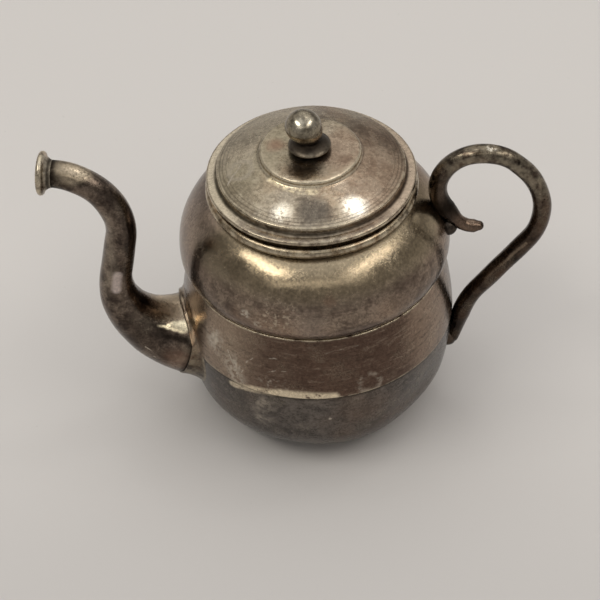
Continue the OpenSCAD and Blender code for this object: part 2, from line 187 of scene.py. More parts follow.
def hand_made(points):
    """How far outwards a hand-spun wall strays from a true circle, at points in millimetres."""
    angle = np.arctan2(points[:, 1], points[:, 0])
    dent = np.linalg.norm(points - np.array(DENT_CENTRE), axis=1) / DENT_R
    return waves(POT_WAVES, angle, points[:, 2]) - DENT_DEPTH * np.exp(-(dent**2))


def near(value, target, width):
    """1 where a value meets its target, falling to 0 about two widths away."""
    return np.exp(-(((value - target) / width) ** 2))


def near_point(r, z, point, width):
    """1 at a point of an outline, falling to 0 about two widths away."""
    return near(np.hypot(r - point[0], z - point[1]), 0, width)


def add_object(name, data):
    obj = bpy.data.objects.new(name, data)
    bpy.context.scene.collection.objects.link(obj)
    return obj


def made_mesh(work, name):
    """A mesh made from a work mesh, which is then freed."""
    mesh = bpy.data.meshes.new(name)
    work.to_mesh(mesh)
    work.free()
    return mesh


def finish_mesh(node, verts, faces, metal, body, wear_and_sheen, grime_and_shade):
    """Makes a piece from points in millimetres, welds its poles, and puts it in place of its CAD node."""
    mesh = bpy.data.meshes.new(node + "_skin")
    mesh.from_pydata([tuple(v) for v in verts * MM], [], faces)
    # The wear layer lightens worn edges; the grime layer darkens with grime together with painted shade in
    # seams, joints and insides.
    for key, values in (("wear_and_sheen", wear_and_sheen), ("grime_and_shade", grime_and_shade)):
        layer = mesh.attributes.new(key, "FLOAT", "POINT")
        layer.data.foreach_set("value", np.asarray(values, np.float32))
    work = bmesh.new()
    work.from_mesh(mesh)
    bmesh.ops.remove_doubles(work, verts=work.verts, dist=1e-7)
    bmesh.ops.recalc_face_normals(work, faces=work.faces)
    work.to_mesh(mesh)
    work.free()
    mesh.shade_smooth()
    mesh.materials.append(metal)
    obj = add_object(node + "_skin", mesh)
    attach(obj, body)
    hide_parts(node)
    return obj


def grid_faces(rows, sides, close_rows=True):
    """Faces between rings of points, and from the last ring back to the first if the rows are closed."""
    faces = []
    for i in range(rows if close_rows else rows - 1):
        j = (i + 1) % rows
        for k in range(sides):
            m = (k + 1) % sides
            faces.append((i * sides + k, i * sides + m, j * sides + m, j * sides + k))
    return faces


def lathe(node, outline, metal, body, marks_at, stray=True, sides=224):
    """A turned piece from a closed outline of (radius, height). Its marks function gives each point's wear
    and grime from (r, z); the grime holds painted shade and the wear, in places, a painted highlight.
    """
    angles = np.linspace(0, 2 * math.pi, sides, endpoint=False)
    r = np.array([p[0] for p in outline])
    z = np.array([p[1] for p in outline])
    heights = np.repeat(z[:, None], sides, 1)
    pts = np.stack([np.outer(r, np.cos(angles)), np.outer(r, np.sin(angles)), heights], -1).reshape(-1, 3)
    wear_and_sheen, grime_and_shade = marks_at(np.repeat(r, sides), np.repeat(z, sides))
    move = hand_made(pts) if stray else np.zeros(len(pts))
    reach = np.maximum(np.hypot(pts[:, 0], pts[:, 1]), 1e-6)
    share = np.clip(reach / 8, 0, 1) * move / reach
    pts[:, :2] *= (1 + share)[:, None]
    return finish_mesh(node, pts, grid_faces(len(outline), sides), metal, body, wear_and_sheen, grime_and_shade)


# Places along a centre line: distance from the axis, height, heading in degrees.


def ahead(p, run):
    """The place a run further on."""
    a = math.radians(p[2])
    return (p[0] + run * math.cos(a), p[1] + run * math.sin(a), p[2])


def turned(p, r, turn):
    """The place at the end of a bend of radius r."""
    s = math.copysign(1, turn)
    a, h = math.radians(p[2]), math.radians(p[2] + turn)
    x = p[0] + s * r * (math.sin(h) - math.sin(a))
    z = p[1] - s * r * (math.cos(h) - math.cos(a))
    return (x, z, p[2] + turn)


def sweep(stations, sides, terms=()):
    """Rings of points round a centre line in the plane of X and Z. Each station is (place, radius, swing)."""
    rows = []
    for i, (p, r, swing) in enumerate(stations):
        h = math.radians(p[2])
        k = np.arange(sides) * 2 * math.pi / sides
        reach = r + waves(terms, k, i / (len(stations) - 1))
        k = k - math.radians(swing)
        out, aside = reach * np.cos(k), reach * np.sin(k)
        ring = np.stack([p[0] - out * math.sin(h), aside, p[1] + out * math.cos(h)], -1)
        rows.append(swung(ring, swing))
    return np.array(rows)


def swung(points, angle):
    """Points of the spout's upper bend, turned aside about the straight part between the bends."""
    mid = spout_places()[1]
    h, t = math.radians(mid[2]), math.radians(angle)
    x, y, z = points[:, 0] - mid[0], points[:, 1], points[:, 2] - mid[1]
    along = x * math.cos(h) + z * math.sin(h)
    across = z * math.cos(h) - x * math.sin(h)
    out = across * math.cos(t) - y * math.sin(t)
    aside = across * math.sin(t) + y * math.cos(t)
    new_x = mid[0] + along * math.cos(h) - out * math.sin(h)
    new_z = mid[1] + along * math.sin(h) + out * math.cos(h)
    return np.stack([new_x, aside, new_z], -1)


def spun(points):
    """Points of the spout's own plane, turned to the spout's side of the pot."""
    a = math.radians(180 + SPOUT_TURN)
    c, s = math.cos(a), math.sin(a)
    turn = np.array([[c, -s, 0], [s, c, 0], [0, 0, 1]])
    return points @ turn.T


def spout_places():
    """The ends of the spout's parts: low bend, straight part, top bend and tip."""
    low = turned(SPOUT_ROOT, *LOW_BEND)
    mid = ahead(low, SPOUT_RISE)
    top = turned(mid, *TOP_BEND)
    return low, mid, top, ahead(top, TIP_RUN)


# Materials. Colours are linear, and shares run from 0 to 1.

BARE = (0.62, 0.54, 0.40)
PALE = (0.52, 0.46, 0.38)
NEAR_BLACK = (0.035, 0.026, 0.021)
# Colour of grime together with painted shade.
GRIME_AND_SHADE = (0.014, 0.010, 0.007)


class Nodes:
    """The node tree of a world or a material, written as calls that return sockets."""

    def __init__(self, owner):
        owner.use_nodes = True
        self.owner = owner
        self.tree = owner.node_tree
        self.tree.nodes.clear()
        self.place = self.add("ShaderNodeTexCoord").outputs["Object"]

    def add(self, kind, inputs=None, **settings):
        node = self.tree.nodes.new(kind)
        for key, value in settings.items():
            setattr(node, key, value)
        for key, value in (inputs or {}).items():
            self.put(node.inputs[key], value)
        return node

    def put(self, socket, value):
        if isinstance(value, bpy.types.NodeSocket):
            self.tree.links.new(value, socket)
        elif value is not None:
            socket.default_value = value

    def math(self, op, a, b=None, clamp=False):
        node = self.add("ShaderNodeMath", operation=op, use_clamp=clamp)
        self.put(node.inputs[0], a)
        self.put(node.inputs[1], b)
        return node.outputs[0]

    def times(self, first, *others):
        """The product of the values."""
        for other in others:
            first = self.math("MULTIPLY", first, other)
        return first

    def weigh(self, total, *parts):
        """A value with parts of (value, weight) added to it."""
        for value, weight in parts:
            total = self.math("ADD", total, self.times(value, weight))
        return total

    def most(self, first, *others):
        """The greatest of the values."""
        for other in others:
            first = self.math("MAXIMUM", first, other)
        return first

    def vec(self, op, a, b):
        node = self.add("ShaderNodeVectorMath", operation=op)
        self.put(node.inputs[0], a)
        self.put(node.inputs[1], b)
        return node.outputs["Value" if op in ("DISTANCE", "DOT_PRODUCT") else "Vector"]

    def scaled(self, vector, factor):
        node = self.add("ShaderNodeVectorMath", operation="SCALE")
        self.put(node.inputs[0], vector)
        self.put(node.inputs["Scale"], factor)
        return node.outputs["Vector"]

    def noise(self, size_mm, detail=4.0, rough=0.55, vector=None, warp=0.0):
        inputs = {"Vector": vector or self.place, "Scale": 1 / (size_mm * MM)}
        inputs |= {"Detail": detail, "Roughness": rough, "Distortion": warp}
        return self.add("ShaderNodeTexNoise", inputs).outputs["Fac"]

    def step(self, value, low, high, out_low=0.0, out_high=1.0):
        """out_low where the value is low, out_high where it is high, and a smooth change between."""
        inputs = {"Value": value, "From Min": low, "From Max": high, "To Min": out_low, "To Max": out_high}
        return self.add("ShaderNodeMapRange", inputs, interpolation_type="SMOOTHSTEP").outputs["Result"]

    def blend(self, share, a, b):
        node = self.add("ShaderNodeMix", data_type="RGBA")
        self.put(node.inputs["Factor"], share)
        for key, value in (("A", a), ("B", b)):
            socket = next(s for s in node.inputs if s.name == key and s.type == "RGBA")
            self.put(socket, (*value, 1.0) if isinstance(value, tuple) else value)
        return next(s for s in node.outputs if s.type == "RGBA")

    def attribute(self, name):
        return self.add("ShaderNodeAttribute", attribute_name=name).outputs["Fac"]

    def stretched(self, scale, turn):
        inputs = {"Vector": self.place, "Scale": scale, "Rotation": turn}
        return self.add("ShaderNodeMapping", inputs).outputs[0]

    def spot(self, centre_mm, radius_mm, soft=0.35, ragged=0.0):
        """1 inside a ball round a point of the surface, 0 outside it."""
        far = self.vec("DISTANCE", self.place, tuple(c * MM for c in centre_mm))
        if ragged:
            far = self.weigh(far, (self.math("SUBTRACT", self.noise(3, 5), 0.5), ragged * MM))
        return self.step(far, radius_mm * MM, radius_mm * (1 - soft) * MM)

    def scratch(self, start_mm, end_mm, width_mm, wander=0.5):
        """1 on a thin line between two points of the surface."""
        a, b = (Vector(p) * MM for p in (start_mm, end_mm))
        run = b - a
        wavy = self.add("ShaderNodeTexNoise", {"Vector": self.place, "Scale": 260.0, "Detail": 2.0})
        off = self.scaled(self.vec("SUBTRACT", wavy.outputs["Color"], (0.5, 0.5, 0.5)), wander * MM)
        here = self.vec("SUBTRACT", self.vec("ADD", self.place, off), tuple(a))
        reach = self.vec("DOT_PRODUCT", here, tuple(run))
        foot = self.scaled(tuple(run), self.math("DIVIDE", reach, run.length_squared, clamp=True))
        return self.step(self.vec("DISTANCE", here, foot), width_mm * MM, 0.25 * width_mm * MM)

    def finish(self, shader):
        """Makes a shader's output the material's own."""
        self.add("ShaderNodeOutputMaterial", {"Surface": shader})
        return self.owner


def path(m, points_mm, width_mm, wander):
    """1 along a line of several straight runs."""
    return m.most(*(m.scratch(a, b, width_mm, wander) for a, b in zip(points_mm, points_mm[1:])))


def polar(m):
    """Sockets of the angle round the Z axis, the distance from it and the height, then of x and y."""
    x, y, z = m.add("ShaderNodeSeparateXYZ", {"Vector": m.place}).outputs
    far = m.math("SQRT", m.math("ADD", m.times(x, x), m.times(y, y)))
    return m.math("ARCTAN2", y, x), far, z, x, y


def around(m, pace):
    """Places for noise that runs in rings: pace metres for each radian round the axis."""
    angle, far, z, _, _ = polar(m)
    return m.add("ShaderNodeCombineXYZ", {"X": m.times(angle, pace), "Y": far, "Z": z}).outputs[0]


def side(m, azimuth, full, fade):
    """1 within full degrees of an azimuth round the pot's axis, 0 beyond fade degrees."""
    _, far, _, x, y = polar(m)
    a = math.radians(azimuth)
    reach = m.weigh(m.times(x, math.cos(a)), (y, math.sin(a)))
    share = m.math("DIVIDE", reach, m.math("ADD", far, 1e-6))
    return m.step(share, math.cos(math.radians(fade)), math.cos(math.radians(full)))


def band(m, low_mm, high_mm, soft_mm):
    """1 between two heights."""
    z = polar(m)[2]
    rise = m.step(z, (low_mm - soft_mm) * MM, (low_mm + soft_mm) * MM)
    return m.times(rise, m.step(z, (high_mm + soft_mm) * MM, (high_mm - soft_mm) * MM))


def beyond(m, low_mm, high_mm):
    """0 nearer the axis than the first distance, 1 farther than the second."""
    return m.step(polar(m)[1], low_mm * MM, high_mm * MM)


def ring_line(m, radius_mm, width_mm):
    """1 on a thin circle round the axis."""
    off = m.math("ABSOLUTE", m.math("SUBTRACT", polar(m)[1], radius_mm * MM))
    return m.step(off, width_mm * MM, 0.2 * width_mm * MM)


def halo(m, centre_mm, radius_mm, width_mm, ragged):
    """1 on a ragged ring round a point of the surface."""
    hole = m.spot(centre_mm, radius_mm - width_mm, 0.5, ragged)
    return m.math("SUBTRACT", m.spot(centre_mm, radius_mm, 0.3, ragged), hole)


def broken(m, share, size_mm, low=0.4, high=0.6):
    """A share with ragged gaps in it."""
    return m.times(share, m.step(m.noise(size_mm, 6, 0.6), low, high))


def hair_scratches(m):
    """Fine crossing scratches, in patches."""
    lines = []
    for turn, stretch in (((0.3, 0.5, 0.9), 0.02), ((1.1, -0.4, 2.2), 0.025), ((0.2, 1.2, -0.6), 0.02)):
        line = m.noise(0.45, 2, 0.5, vector=m.stretched((1.0, stretch, 1.0), turn))
        lines.append(m.step(m.math("ABSOLUTE", m.math("SUBTRACT", line, 0.5)), 0.010, 0.0))
    return m.times(m.most(*lines), m.step(m.noise(7, 3), 0.48, 0.66))


def small_pits(m, share):
    """Round pits, in patches."""
    cells = m.add("ShaderNodeTexVoronoi", {"Vector": m.place, "Scale": 1100.0})
    return m.times(m.step(cells.outputs["Distance"], 0.34, 0.1), m.step(m.noise(4.5, 3), 0.5, 0.68), share)


def tarnished(name, light, dark, rough=0.24, turning=0.0, mottle=9.0, pits=0.5, bright=BARE, marks=None):
    """Metal with uneven brown tarnish, worn edges with a painted highlight in places, grime with painted
    shade in its seams and insides, pits, scratches and turning marks.

    light and dark are the tarnish's two tones and bright is bare metal.
    marks adds a piece's own marks: a list of (where, weight, colour), some with a roughness change.
    """
    m = Nodes(bpy.data.materials.new(name))
    large = m.noise(mottle, 6, 0.6, warp=0.4)
    medium = m.noise(2.6, 6, 0.62, warp=0.8)
    fine = m.noise(0.7, 8, 0.75)
    ringed = m.noise(0.3, 3, 0.65, vector=around(m, 0.0016))
    hair = hair_scratches(m)
    pit = small_pits(m, pits)

    # The tarnish: two tones, with reddish clouds.
    tone = m.weigh(m.times(large, 0.40), (medium, 0.32), (fine, 0.16), (ringed, 0.12))
    colour = m.blend(m.step(tone, 0.40, 0.60), dark, light)
    reddish = tuple(c * k for c, k in zip(light, (1.08, 0.86, 0.72)))
    clouds = m.step(m.noise(mottle * 2.3, 3, 0.5), 0.5, 0.72)
    colour = m.blend(m.times(clouds, 0.5), colour, reddish)
    roughness = m.step(large, 0.3, 0.7, rough - 0.04, rough + 0.06)
    for value, weight in ((fine, 0.22), (medium, 0.16)):
        roughness = m.weigh(roughness, (m.math("SUBTRACT", value, 0.5), weight))
    for where, weight, tint, *rougher in marks(m) if marks else ():
        share = m.times(where, weight)
        colour = m.blend(share, colour, tint)
        roughness = m.weigh(roughness, *((share, change) for change in rougher))
    speckle = m.step(fine, 0.36, 0.66, 0.8, 1.2)
    grey = m.add("ShaderNodeCombineXYZ", {"X": speckle, "Y": speckle, "Z": speckle})
    colour = m.vec("MULTIPLY", colour, grey.outputs[0])

    # What use and dirt have done to it, with painted shade darkening seams and insides and a painted
    # highlight on some edges.
    edge = m.math("MULTIPLY", m.attribute("wear_and_sheen"), m.step(m.noise(1.7, 6), 0.32, 0.64), clamp=True)
    dirt_and_shade = m.math("MULTIPLY", m.attribute("grime_and_shade"), m.step(m.noise(1.6, 5), 0.12, 0.5), clamp=True)
    colour = m.blend(m.times(edge, 0.8), colour, bright)
    colour = m.blend(m.times(hair, 0.45), colour, bright)
    colour = m.blend(m.times(pit, 0.8), colour, tuple(c * 0.35 for c in dark))
    colour = m.blend(dirt_and_shade, colour, GRIME_AND_SHADE)
    roughness = m.weigh(roughness, (dirt_and_shade, 0.3))

    height = m.weigh(m.noise(6, 3), (fine, 0.05), (ringed, 0.04 * turning), (pit, -0.12), (hair, -0.03))
    bump = m.add("ShaderNodeBump", {"Height": height, "Strength": 0.6, "Distance": 0.00022})
    inputs = {"Base Color": colour, "Roughness": roughness, "Normal": bump.outputs[0], "Metallic": 1.0}
    return m.finish(m.add("ShaderNodeBsdfPrincipled", inputs).outputs[0])


# Marks of use and places of painted light, each where it is on the real pot, in millimetres

SEAM_RUB = [(-17.3, -23.8, 23.2), (-13.1, -26.3, 24.3), (-6.5, -28.9, 25.5), (-0.1, -29.6, 25.5),
            (5.2, -29.2, 25.1)]
COLLAR_RUB_AND_SHEEN = [(-22.7, -16.6, 36.8), (-24.6, -15.0, 33.9), (-26.2, -14.6, 30.0), (-27.0, -15.4, 27.0)]
BOSS_HIGHLIGHT_ARC = [(-7.8, -8.0, 67.6), (-5.4, -9.9, 67.5), (-2.0, -11.4, 67.4), (1.6, -11.7, 67.4)]
LOOP_CENTRE = (37.8, 0, 58.3)


def upper_marks(m):
    """A pale shoulder in front, partly a painted highlight, a painted dark reflection on the left, and small
    chips on the front.
    """
    # Pale golden shoulder in front: tone and painted highlight together.
    pale_shoulder_and_sheen = m.times(band(m, 51.5, 70, 2.5), side(m, -72, 62, 104))
    # Painted dark reflection on the left of the bulge.
    dark_reflection_left = m.times(side(m, -137, 8, 22), band(m, 44, 57, 3))
    chips = broken(m, m.spot((-6.0, -26.5, 47.5), 7.0, 0.9, 4.0), 1.0, 0.52, 0.62)
    return [
        (pale_shoulder_and_sheen, 0.8, (0.40, 0.325, 0.215), -0.03),
        (dark_reflection_left, 0.3, (0.07, 0.052, 0.042)),
        (side(m, -168, 10, 26), 0.5, (0.34, 0.27, 0.225)),
        (m.spot((4.9, -26.9, 51.4), 2.2, 0.9, 2.0), 0.45, (0.2, 0.105, 0.07)),
        (m.spot((0.5, -28.0, 45.6), 6.0, 0.9, 3.0), 0.5, (0.36, 0.29, 0.235)),
        (broken(m, m.spot((-13.0, -25.9, 46.1), 1.5, 0.6, 1.5), 0.8), 1.0, PALE, 0.1),
        (broken(m, m.spot((-10.3, -27.1, 44.2), 1.2, 0.6, 1.2), 0.8), 1.0, PALE, 0.1),
        (chips, 1.0, (0.46, 0.38, 0.29), 0.04),
        (m.spot((20.0, -20.0, 47.0), 7.0, 0.9, 4.0), 0.5, (0.14, 0.105, 0.082)),
    ]


def barrel_scratch(m, start, end, weight, width=0.2, wander=2.0, high=0.48):
    """A faint broken scratch of the barrel."""
    return broken(m, m.scratch(start, end, width, wander), 1.2, 0.36, high), weight, PALE


def barrel_marks(m):
    """A dark front with streaks round it, pale patches, a ring-shaped stain and the rubbed seam."""
    streak = m.noise(0.9, 6, 0.72, vector=around(m, 0.005), warp=0.2)
    stain = halo(m, (12.6, -26.7, 26.9), 3.4, 1.0, 1.5)
    rubbed = broken(m, path(m, SEAM_RUB, 1.6, 0.9), 1.5, 0.28, 0.46)
    low_patch = broken(m, m.spot((-8.0, -27.8, 27.5), 5.0, 0.9, 3.0), 1.2, 0.5, 0.64)
    return [
        (side(m, -130, 16, 40), 0.75, (0.33, 0.255, 0.19), 0.02),
        (side(m, -77, 29, 50), 0.85, (0.105, 0.066, 0.049), -0.02),
        (side(m, -24, 8, 26), 0.6, (0.34, 0.25, 0.185)),
        (m.step(streak, 0.53, 0.66), 0.42, (0.30, 0.235, 0.18), 0.05),
        (m.step(streak, 0.47, 0.34), 0.6, (0.055, 0.038, 0.029)),
        (broken(m, m.spot((-16.8, -24.0, 29.9), 4.0, 0.9, 3.5), 1.5), 1.0, PALE, 0.06),
        (broken(m, m.spot((-16.1, -24.8, 26.5), 3.6, 0.9, 3.0), 1.5), 1.0, PALE, 0.06),
        (broken(m, m.spot((-20.6, -20.3, 32.8), 4.5, 0.9, 3.0), 2.0), 1.0, PALE, 0.04),
        (low_patch, 0.5, PALE, 0.04),
        (broken(m, stain, 1.3), 0.4, PALE, 0.04),
        (rubbed, 0.95, (0.82, 0.70, 0.51), 0.02),
        barrel_scratch(m, (-17.6, -23.0, 32.6), (-15.9, -24.9, 27.0), 0.9, 0.3, 1.4, 0.46),
        barrel_scratch(m, (-15.1, -25.3, 28.0), (-12.2, -26.1, 33.4), 0.8),
        barrel_scratch(m, (-12.2, -26.1, 33.2), (-4.0, -28.2, 35.1), 0.8),
        barrel_scratch(m, (-10.2, -27.4, 30.5), (-1.6, -28.7, 32.9), 0.6),
        barrel_scratch(m, (3.4, -27.9, 37.0), (12.0, -25.3, 37.2), 0.5),
        # Copper rub that is also a painted highlight.
        (path(m, COLLAR_RUB_AND_SHEEN, 1.1, 0.4), 0.8, (0.75, 0.50, 0.31), -0.03),
    ]


def bowl_marks(m):
    """The rubbed seam, and pale specks below it."""
    rubbed = broken(m, path(m, SEAM_RUB, 1.3, 0.9), 1.5, 0.28, 0.46)
    return [
        (rubbed, 0.9, (0.80, 0.68, 0.50), 0.02),
        (broken(m, m.spot((-10.7, -27.2, 20.2), 4.5, 0.95, 3.0), 2.2), 0.5, PALE, 0.06),
        (broken(m, m.spot((-11.0, -26.6, 15.4), 3.5, 0.95, 3.0), 2.2), 0.5, PALE, 0.06),
        (m.spot((3.9, -28.8, 17.7), 0.5, 0.6), 1.0, PALE, 0.1),
    ]


def lid_marks(m):
    """Clouds and brush marks, rim and dome paler behind with painted sheen, painted highlights in front with
    a painted dark reflection between, painted highlights at the boss, scored rings, a rub at the left.
    """
    clouds = m.step(m.noise(5.5, 5, 0.6, warp=0.6), 0.46, 0.62)
    brush = m.noise(1.1, 6, 0.7, vector=around(m, 0.005), warp=0.4)
    # Painted sheen: the rim is paler at the back, where it mirrors the lights behind.
    rim_behind_sheen = m.times(beyond(m, 20.2, 20.6), side(m, 95, 125, 150))
    rim_in_front = m.times(broken(m, side(m, -85, 35, 60), 3.0), beyond(m, 20.2, 20.7))
    # Painted sheen: the dome is paler at the back left.
    dome_behind_sheen = m.times(side(m, 140, 22, 60), beyond(m, 10.9, 12.5))
    # Painted highlights on the front of the dome.
    painted_highlight_left = broken(m, m.spot((-5.0, -16.1, 65.7), 3.1, 0.8, 1.5), 0.9, 0.36, 0.5)
    painted_highlight_right = broken(m, m.spot((9.9, -14.1, 65.6), 3.8, 0.8, 1.5), 0.9, 0.34, 0.46)
    scored = m.most(ring_line(m, 19.15, 0.22), ring_line(m, 18.5, 0.16), ring_line(m, 17.7, 0.12))
    # Painted highlight: a bright line at the boss's foot on the front and right.
    boss_foot_highlight = m.times(ring_line(m, BOSS_R, 0.35), side(m, -70, 60, 110))
    # Painted highlight in the cove under the boss's front edge.
    crescent_highlight = broken(m, path(m, BOSS_HIGHLIGHT_ARC, 1.0, 0.8), 1.1, 0.3, 0.62)
    return [
        (clouds, 0.4, (0.56, 0.49, 0.38), -0.03),
        (m.step(brush, 0.54, 0.68), 0.4, (0.64, 0.56, 0.44), 0.05),
        (m.step(brush, 0.46, 0.34), 0.5, (0.13, 0.10, 0.075)),
        (rim_behind_sheen, 0.8, (0.80, 0.69, 0.54)),
        (side(m, -4, 25, 70), 0.5, (0.33, 0.215, 0.15)),
        (side(m, 170, 25, 80), 0.4, (0.36, 0.32, 0.215), 0.03),
        (m.spot((-7.3, 1.1, 69.2), 3.2, 0.9, 1.5), 0.6, (0.26, 0.135, 0.09)),
        # Painted dark reflection between the two painted highlights.
        (m.spot((1.4, -15.6, 66.0), 5.0, 0.7, 2.0), 0.85, (0.10, 0.083, 0.068)),
        (dome_behind_sheen, 0.6, (0.72, 0.63, 0.49)),
        (painted_highlight_left, 0.9, (0.82, 0.75, 0.62), -0.02),
        (painted_highlight_right, 1.0, (0.90, 0.84, 0.72), -0.02),
        (scored, 0.5, (0.085, 0.065, 0.048), 0.05),
        (beyond(m, 21.7, 22.15), 0.55, (0.14, 0.095, 0.065)),
        (rim_in_front, 0.6, (0.10, 0.075, 0.065)),
        (halo(m, (-14.4, -3.8, 66.4), 3.6, 0.9, 1.0), 0.35, PALE, 0.1),
        (m.scratch((-16.8, -7.1, 65.2), (-14.5, -2.3, 66.5), 0.3, 1.5), 0.7, PALE),
        (boss_foot_highlight, 0.8, (0.85, 0.76, 0.58)),
        (crescent_highlight, 0.75, (0.88, 0.74, 0.49), -0.04),
    ]


def knob_marks(m):
    """A shank and flange darkened with painted shade, and painted highlights on the ball and the flange."""
    # Colour of the painted highlights on the ball.
    wear_and_sheen = (0.74, 0.68, 0.55)
    return [
        # Painted shade on the knob's lower part, up to below the ball's middle; then painted highlights on
        # the ball and on the flange's front.
        (band(m, 60, 73.6, 1.2), 1.0, (0.085, 0.068, 0.052), 0.05),
        (m.spot((-1.9, -2.6, 77.6), 1.9, 0.9, 0.6), 0.8, wear_and_sheen),
        (m.spot((1.0, -1.9, 77.7), 1.7, 0.9, 0.6), 0.8, wear_and_sheen),
        (m.spot((0.6, -4.6, 71.6), 1.5, 0.8, 0.6), 0.8, (0.50, 0.43, 0.32)),
    ]


def tube_line(m, start, end, width, weight):
    """A dark line on the spout."""
    return m.scratch(start, end, width, 0.3), weight, NEAR_BLACK


def tube_marks(m):
    """The pale oval on the lower bend with painted gold highlights in it, dark lines beside it, and pits on
    the top bend; also painted shade under the low bend and a painted shadow on the tube's end.
    """
    highlight_gold = (0.88, 0.77, 0.55)
    left = broken(m, m.scratch((-42.6, -13.2, 60.0), (-43.0, -13.6, 42.0), 2.9, 1.0), 3.0, 0.3, 0.62)
    top_pits = broken(m, m.spot((-46.5, -9.0, 72.0), 5.5, 0.6, 2.0), 0.45, 0.5, 0.6)
    # Painted shadow on the tube's end behind the lip.
    tip = m.step(polar(m)[3], -51.6 * MM, -52.6 * MM)
    chip = m.scratch((-41.0, -13.8, 45.2), (-41.6, -14.1, 41.4), 1.5, 0.3)
    return [
        (left, 0.6, (0.31, 0.26, 0.205)),
        (m.spot((-30.6, -7.5, 32.5), 6.8, 0.6, 3.0), 0.85, (0.62, 0.50, 0.36), 0.08),
        (m.spot((-29.0, -16.0, 21.5), 6.0, 0.8, 3.0), 0.7, (0.21, 0.13, 0.095)),
        # Painted shade under the low bend.
        (m.spot((-37.5, -15.3, 29.0), 6.0, 0.9, 3.0), 0.6, NEAR_BLACK),
        tube_line(m, (-34.0, -11.6, 31.8), (-27.6, -11.0, 30.8), 0.9, 0.7),
        tube_line(m, (-35.2, -14.2, 28.6), (-27.6, -14.4, 26.8), 1.1, 0.8),
        # Painted highlights in gold on the root.
        (m.spot((-28.5, -12.8, 29.4), 1.9, 0.5), 1.0, highlight_gold, -0.04),
        (m.spot((-30.1, -12.9, 29.6), 1.5, 0.5), 1.0, highlight_gold, -0.04),
        (m.spot((-31.6, -13.2, 29.6), 0.85, 0.5), 1.0, highlight_gold, -0.04),
        (m.scratch((-33.8, -13.4, 30.2), (-31.6, -13.2, 29.6), 0.5, 0.15), 1.0, highlight_gold, -0.04),
        tube_line(m, (-38.0, -12.2, 52.5), (-36.4, -10.6, 35.2), 2.0, 0.85),
        tube_line(m, (-39.8, -10.4, 64.5), (-38.2, -12.0, 54.0), 1.8, 0.7),
        (chip, 0.9, (0.60, 0.51, 0.47), 0.15),
        (m.spot((-48.2, -8.6, 73.6), 6.6, 0.4, 2.0), 0.9, (0.58, 0.48, 0.35), 0.03),
        (top_pits, 0.6, NEAR_BLACK, 0.1),
        # Painted shadow behind the lip.
        (tip, 0.8, NEAR_BLACK, 0.1),
        (m.scratch((-36.6, -15.3, 25.6), (-35.2, -15.3, 24.4), 0.28), 0.8, PALE),
        (m.scratch((-35.0, -15.2, 22.6), (-33.4, -15.2, 21.8), 0.28), 0.8, PALE),
    ]


def collar_marks(m):
    """The copper rub along the collar's edge, also a painted highlight, painted shade on its underside, and a
    dark line on its flare.
    """
    line = m.scratch((-27.2, -11.5, 35.5), (-28.3, -14.0, 30.0), 0.7, 0.3)
    return [
        # Copper rub that is also a painted highlight.
        (path(m, COLLAR_RUB_AND_SHEEN, 1.3, 0.4), 0.95, (0.92, 0.62, 0.38), -0.04),
        # Painted shade on the collar's underside.
        (band(m, 0, 22.5, 2.5), 0.7, NEAR_BLACK, 0.05),
        (line, 0.7, NEAR_BLACK),
    ]


def wire_marks(m):
    """The handle: lighter on its top with wear and a painted highlight, painted shade inside its loop, dark
    at its tail, with a few pale streaks.
    """
    # Lighter top of the wire: wear together with a painted highlight.
    top = m.times(band(m, 68.4, 80, 1.2), m.step(m.noise(2.0, 5), 0.38, 0.62))
    chip = broken(m, m.spot((37.8, -0.4, 69.9), 1.3, 0.5, 1.0), 0.6, 0.5, 0.6)
    return [
        (top, 0.2, (0.30, 0.24, 0.15), -0.02),
        # Painted shade on the inside of the loop.
        (m.spot(LOOP_CENTRE, 10.1, 0.22, 0.8), 0.75, (0.026, 0.019, 0.015)),
        (band(m, 0, 29, 5), 0.3, NEAR_BLACK),
        (m.scratch((45.4, -1.8, 44.5), (36.6, -1.8, 34.0), 0.5, 0.6), 0.5, (0.3, 0.23, 0.165)),
        (m.scratch((47.8, -1.6, 62.0), (48.4, -1.6, 52.0), 0.5, 0.6), 0.4, (0.26, 0.2, 0.145)),
        (m.spot((33.0, -1.0, 49.4), 4.5, 0.8, 1.5), 0.6, (0.24, 0.165, 0.12)),
        (chip, 1.0, (0.62, 0.58, 0.5), 0.15),
    ]


# The metals of the pieces: the lighter and the darker tone of the tarnish first


def upper_metal():
    light, dark = (0.30, 0.232, 0.178), (0.095, 0.069, 0.054)
    return tarnished("tarnished_sheet", light, dark, turning=0.6, marks=upper_marks)


def barrel_metal():
    light, dark = (0.21, 0.155, 0.118), (0.085, 0.061, 0.048)
    return tarnished("tarnished_barrel", light, dark, rough=0.25, turning=0.9, marks=barrel_marks)


def bowl_metal():
    light, dark = (0.17, 0.148, 0.13), (0.07, 0.06, 0.053)
    return tarnished("tarnished_bowl", light, dark, rough=0.27, turning=0.5, marks=bowl_marks)


def ring_metal():
    return tarnished("worn_rim", (0.30, 0.225, 0.14), (0.10, 0.07, 0.047), turning=0.9, mottle=5)


def lid_metal():
    light, dark = (0.41, 0.345, 0.255), (0.185, 0.145, 0.105)
    return tarnished("turned_lid", light, dark, rough=0.25, turning=1.3, mottle=6, marks=lid_marks)


def knob_metal():
    light, dark = (0.36, 0.315, 0.235), (0.14, 0.12, 0.09)
    return tarnished("knob_metal", light, dark, mottle=3, pits=0.9, marks=knob_marks)


def tube_metal():
    light, dark = (0.19, 0.148, 0.116), (0.045, 0.033, 0.027)
    return tarnished("dark_tube", light, dark, mottle=5, pits=1.0, marks=tube_marks)


def collar_metal():
    return tarnished("collar_metal", (0.22, 0.155, 0.105), (0.07, 0.05, 0.038), mottle=3, marks=collar_marks)


